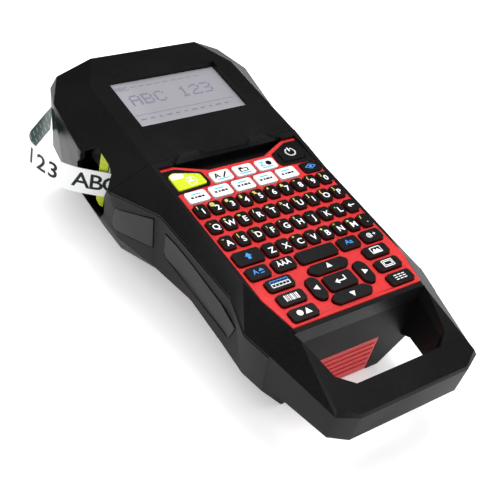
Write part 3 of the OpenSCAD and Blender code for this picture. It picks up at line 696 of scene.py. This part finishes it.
# %% Icons on the function keys
def loose_parts(name):
    """The separate solids inside one node, each as its points in the deck frame."""
    mesh = bmesh.new()
    mesh.from_mesh(nodes[name].data)
    bmesh.ops.remove_doubles(mesh, verts=mesh.verts, dist=WELD_DISTANCE)
    todo, parts = set(mesh.verts), []
    while todo:
        stack, part = [todo.pop()], []
        while stack:
            vertex = stack.pop()
            part.append(deck_mm.inverted() @ vertex.co)
            for other in (edge.other_vert(vertex) for edge in vertex.link_edges):
                if other in todo:
                    todo.remove(other)
                    stack.append(other)
        parts.append(part)
    mesh.free()
    return sorted(parts, key=lambda part: (round(part[0].x > 0), round(min(p.y for p in part))))


def middle_of(part):
    return tuple((min(p[axis] for p in part) + max(p[axis] for p in part)) / 2 for axis in (0, 1))


middles = [middle_of(part) for part in loose_parts("function_keys")]
places = sorted(middles, key=lambda c: (-round(c[1]), c[0]))
ink = Ink("function_keys.icons", "function_keys")
KEYS_IN_TOP_ROW = 3
for k, (x, y) in enumerate(places):
    if k < KEYS_IN_TOP_ROW:
        ink.bar(x, y - 2.4, 7.4, 0.8, "cyan", LOW_SKIN)
    else:
        ink.bar(x, y + 1.9, 5.4, 0.8, "cyan", LOW_SKIN)
    if k == 0:
        ink.text("A", x - 2.6, y + 0.4, 3.8, "black", LOW_SKIN, bold=0.03)
        ink.line([(x + 1, y - 1.2), (x + 3.6, y + 2)], 0.9, "black", LOW_SKIN)
    elif k == 1:
        ink.shape([(x - 2.8, y - 1.2), (x + 2.8, y - 1.2), (x + 2.8, y + 1.5), (x, y + 1.5),
                   (x - 0.8, y + 2.4), (x - 2.8, y + 2.4)], "black", LOW_SKIN)
        ink.bar(x, y, 3.8, 1.4, "white", LOW_SKIN + 0.05)
    elif k == 2:
        ink.text("Z", x - 2.4, y + 0.5, 3.6, "cyan", LOW_SKIN, bold=0.03)
        ink.disc(x + 2, y + 0.5, 1.8, "black", LOW_SKIN)
    else:
        for step, wide in enumerate((1.6, 1.1, 2.2, 1.4)):
            ink.bar(x - 3.3 + 2.2 * step, y - 0.5, wide, 1.3, "black", LOW_SKIN)
ink.done()
print(len(places), "function keys")

# %% [markdown]
# ## Picture on the display
#
# The display shows a line of text in square dots, rows of small marks above it and a status
# line. Every dot is a raised square on the glass; the letters are drawn from a grid.

# %% Draw the display's dots
GRID = {"A": "01110 10001 10001 11111 10001 10001 10001", "B": "11110 10001 10001 11110 10001 10001 11110",
        "C": "01110 10001 10000 10000 10000 10001 01110", "1": "00100 01100 00100 00100 00100 00100 01110",
        "2": "01110 10001 00001 00110 01000 10000 11111", "3": "11110 00001 00001 01110 00001 00001 11110"}
LETTER_STEP = 6
DOT_FILL = 0.86
GLASS_TILT = 1.7
GLASS_LIFT = 0.0005
low, high = (Vector(corner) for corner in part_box("display_lens"))
tilt = math.radians(GLASS_TILT)
glass_mid = (low + high) / 2
glass_z = (deck_matrix.to_3x3() @ Vector((0, -math.sin(tilt), math.cos(tilt)))).normalized()
glass = Matrix((deck_x, glass_z.cross(deck_x), glass_z)).transposed().to_4x4()
glass.translation = glass_mid + glass_z * GLASS_LIFT
screen = Ink("display_lens.dots", "case", glass @ Matrix.Scale(MM, 4))


def square(x, y, w, h):
    screen.bar(x, y, w, h, "violet", 0.01, 0.03)


def dots(words, x, y, dot):
    for word_at, letter in enumerate(words):
        for r, line in enumerate(GRID.get(letter, "").split()):
            for c, on in enumerate(line):
                if on == "1":
                    square(x + (word_at * LETTER_STEP + c) * dot, y - r * dot, dot * DOT_FILL, dot * DOT_FILL)


dots("ABC 123", -29, 8.5, 1.35)
dots("ABC", -33.5, 17.5, 0.5)
for k in range(9):
    square(-22 + 5.4 * k, 16.1, 3.6, 0.5)
for k in range(11):
    square(-30 + 5.6 * k, -12.4, 3.4 - (k % 3) * 0.8, 1.0)
square(0, -8.6, 66, 0.35)
screen.done()
print(len(screen.faces), "faces of dots")

# %% [markdown]
# ## The printed tape
#
# The tape's own solid gives its path: its vertices come in pairs, one on each face, so the middle
# of every pair is a point of the centre line. Walking from point to point from the printing end
# gives the path, and marks drawn flat are then wrapped along it.

# %% Wrap print and liner round the tape
TAPE_THICK = 0.4
PAIR_SLACK = 0.03
CUT_STEP = 1.5


def tape_line():
    flat, levels = set(), []
    for vertex in nodes["label_strip"].data.vertices:
        p = deck_mm.inverted() @ vertex.co
        flat.add((round(p.x, 3), round(p.y, 3)))
        levels.append(p.z)
    spots = [Vector(xy) for xy in sorted(flat)]
    middles, used = [], set()
    for i, a in enumerate(spots):
        for j in range(i + 1, len(spots)):
            if i not in used and j not in used and abs((a - spots[j]).length - TAPE_THICK) < PAIR_SLACK:
                middles.append((a + spots[j]) / 2)
                used |= {i, j}
    start = max(middles, key=lambda p: p.x - 2 * p.y)
    path = [start]
    rest = [p for p in middles if p is not start]
    while rest:
        nearest = min(rest, key=lambda p: (p - path[-1]).length)
        rest.remove(nearest)
        path.append(nearest)
    return path, (min(levels) + max(levels)) / 2


path, tape_level = tape_line()
travel = [0.0]
for a, b in zip(path, path[1:]):
    travel.append(travel[-1] + (b - a).length)


def on_tape(s, v, out):
    """A point of the tape: distance along it, height across it, distance out of its printed face."""
    passed = next((i for i, t in enumerate(travel) if t > s), len(path))
    k = max(0, min(len(path) - 2, passed - 1))
    step = (path[k + 1] - path[k]).normalized()
    p = path[k] + step * (s - travel[k]) + Vector((-step.y, step.x)) * out
    return deck(p.x, p.y, tape_level + v)


def wrap(ink, end):
    """Cut the flat marks every millimetre and a half, then lay them along the tape."""
    sheet = bmesh.new()
    made = [sheet.verts.new(p) for p in ink.points]
    for face, kind in zip(ink.faces, ink.inks):
        sheet.faces.new([made[i] for i in face]).material_index = kind
    low_x = min(p.x for p in ink.points)
    high_x = max(p.x for p in ink.points)
    for cut in range(1, int((high_x - low_x) / CUT_STEP) + 1):
        everything = sheet.verts[:] + sheet.edges[:] + sheet.faces[:]
        bmesh.ops.bisect_plane(sheet, geom=everything, plane_co=(low_x + CUT_STEP * cut, 0, 0),
                               plane_no=(1, 0, 0))
    for vertex in sheet.verts:
        vertex.co = on_tape(end - vertex.co.x, vertex.co.y, vertex.co.z)
    mesh = bpy.data.meshes.new(ink.name)
    sheet.to_mesh(mesh)
    sheet.free()
    for material in INKS.values():
        mesh.materials.append(material)
    obj = bpy.data.objects.new(ink.name, mesh)
    bpy.context.scene.collection.objects.link(obj)
    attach(obj, "case")


END_GAP = 3
LETTER_PITCH = 8.6
LETTER_HEIGHT = 11.2
LINER_GAP = 45
CHEVRON_PITCH = 4.2
printing = Ink("label_strip.print", "case")
for k, letter in enumerate("ABC 123 ABC 123"):
    if letter != " ":
        printing.text(letter, 4.5 + LETTER_PITCH * k, 0, LETTER_HEIGHT, "black", 0.21, 0.03, 0.014)
wrap(printing, travel[-1] - END_GAP)
liner = Ink("label_strip.liner", "case")
span = travel[-1] - LINER_GAP
liner.bar(span / 2, 0, span, 17.4, "teal", -0.25, 0.04)
for k in range(int(span / CHEVRON_PITCH)):
    start = 2 + CHEVRON_PITCH * k
    for across in (-6, 2):
        liner.line([(start, across), (start + 2.2, across + 4)], 0.7, "white", -0.27)
wrap(liner, travel[-1] - 0.5)
print("tape", round(travel[-1], 1), "mm long")

# %% [markdown]
# ## Grooves along the casing
#
# The two shells meet in a dark groove that follows the parting line round the printer. The line
# is found from the solids: a vertex that the lower shell shares with the upper one or with the
# hood lies on it. A second groove runs just below. A thin round cord along each line is simpler
# than cutting a groove into a finished solid, and from a short way off it looks the same.

# %% Lay the grooves
def cord(name, body, points, radius, ink):
    curve = bpy.data.curves.new(name, "CURVE")
    curve.dimensions = "3D"
    curve.bevel_depth = radius
    curve.bevel_resolution = 1
    curve.use_fill_caps = True
    spline = curve.splines.new("POLY")
    spline.points.add(len(points) - 1)
    for target, p in zip(spline.points, points):
        target.co = (*p, 1)
    curve.materials.append(INKS[ink])
    obj = bpy.data.objects.new(name, curve)
    bpy.context.scene.collection.objects.link(obj)
    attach(obj, body)


GROOVE_DROPS = (0.2, 1.9)
GROOVE_END = 60
GROOVE_RADIUS = 0.00035
THIN_GROOVE = 0.0003


def shared_line(side):
    upper = [v.co for part in ("upper_case", "display_hood") for v in nodes[part].data.vertices]
    found = []
    for vertex in nodes["lower_case"].data.vertices:
        p = vertex.co
        local = deck_mm.inverted() @ p
        if local.x * side > 45 and -90 < local.y < 130 and any((p - q).length < 0.00005 for q in upper):
            if all((local - other).length > 0.5 for other in found):
                found.append(local)
    return sorted(found, key=lambda q: q.y)


for side in (-1, 1):
    line = shared_line(side)
    print("parting line", "left" if side < 0 else "right", [tuple(round(c, 1) for c in q) for q in line])
    for k, drop in enumerate(GROOVE_DROPS):
        inward = side * (0.05 + 0.15 * k)
        points = [deck(q.x - inward, q.y, q.z - drop) for q in line if q.y < GROOVE_END]
        cord(f"parting_groove.{side}.{k}", "case", points, GROOVE_RADIUS, "black")


def seam_line(side):
    """The seam between the hood and the deck shell, from the top down."""
    found = {}
    for vertex in nodes["display_hood"].data.vertices:
        p = deck_mm.inverted() @ vertex.co
        if p.y < 48 and p.x * side > 48:
            found[round(p.x, 1), round(p.z, 1)] = p
    return sorted(found.values(), key=lambda q: -q.z)


for side in (-1, 1):
    seam = seam_line(side)
    cord(f"hood_seam.{side}", "case", [deck(q.x, q.y - 0.12, q.z) for q in seam], THIN_GROOVE, "black")
    print("hood seam", side, len(seam), "points")

# %% [markdown]
# ## A ring round each side grip
#
# Each smooth side panel is let into the shell with a hairline gap round it. The panel's outermost
# points, taken in the order of their convex hull, are its rim; pushed outwards a little, they give
# the path of a thin cord.

# %% Ring the side grips
RIM_OFFSET = 0.3
for k, part in enumerate(loose_parts("side_grips")):
    outer = {}
    for p in part:
        spot = (round(p.y, 1), round(p.z, 1))
        if spot not in outer or abs(p.x) > abs(outer[spot].x):
            outer[spot] = p
    rim = list(outer.values())
    ring = [rim[i] for i in convex_hull_2d([(p.y, p.z) for p in rim])]
    middle = sum(ring, Vector()) / len(ring)
    points = []
    for p in ring + ring[:1]:
        away = Vector((0, p.y - middle.y, p.z - middle.z)).normalized() * RIM_OFFSET
        points.append(deck(p.x - math.copysign(0.1, p.x), p.y + away.y, p.z + away.z))
    cord(f"grip_groove.{k}", "case", points, THIN_GROOVE, "black")
print(k + 1, "grip grooves")

# %% [markdown]
# ## Screw recesses, cell marks and labels
#
# Underneath, each screw has a cross recess. Behind the covers the battery sleeve carries stripes
# and its two polarity signs, and the cartridge a plain blue label with two bars for words. They
# are drawn with the same ink as the keys, just below the faces that they lie on.

# %% Marks underneath
SCREWS = ((41.6, 118, -81.0), (38.3, -119.5, -31.0))
CROSS_LONG = 2.6
CROSS_WIDE = 0.6
under = Ink("case_screws.recess", "case")
for cx, cy, cz in SCREWS:
    for side in (1, -1):
        under.bar(side * cx, cy, CROSS_LONG, CROSS_WIDE, "black", cz - 0.05)
        under.bar(side * cx, cy, CROSS_WIDE, CROSS_LONG, "black", cz - 0.06)
under.done()

marks = Ink("battery_pack.marks", "case")
BATTERY_BASE = -57.6
for y in range(-60, 10, 20):
    marks.bar(0, y, 30, 0.5, "white", BATTERY_BASE - 0.06)
marks.bar(-14, -10, 5, 1.2, "white", BATTERY_BASE - 0.07)
marks.bar(14, -10, 5, 1.2, "white", BATTERY_BASE - 0.07)
marks.bar(14, -10, 1.2, 5, "white", BATTERY_BASE - 0.08)
marks.done()

label = Ink("tape_cartridge.label", "case")
LABEL_BASE = -60.0
label.bar(12, 96, 30, 18, "blue", LABEL_BASE - 0.06)
label.bar(12, 101, 24, 1, "white", LABEL_BASE - 0.12)
label.bar(12, 92, 24, 1, "white", LABEL_BASE - 0.12)
label.done()
print("marks underneath", [len(ink.faces) for ink in (under, marks, label)], "faces")
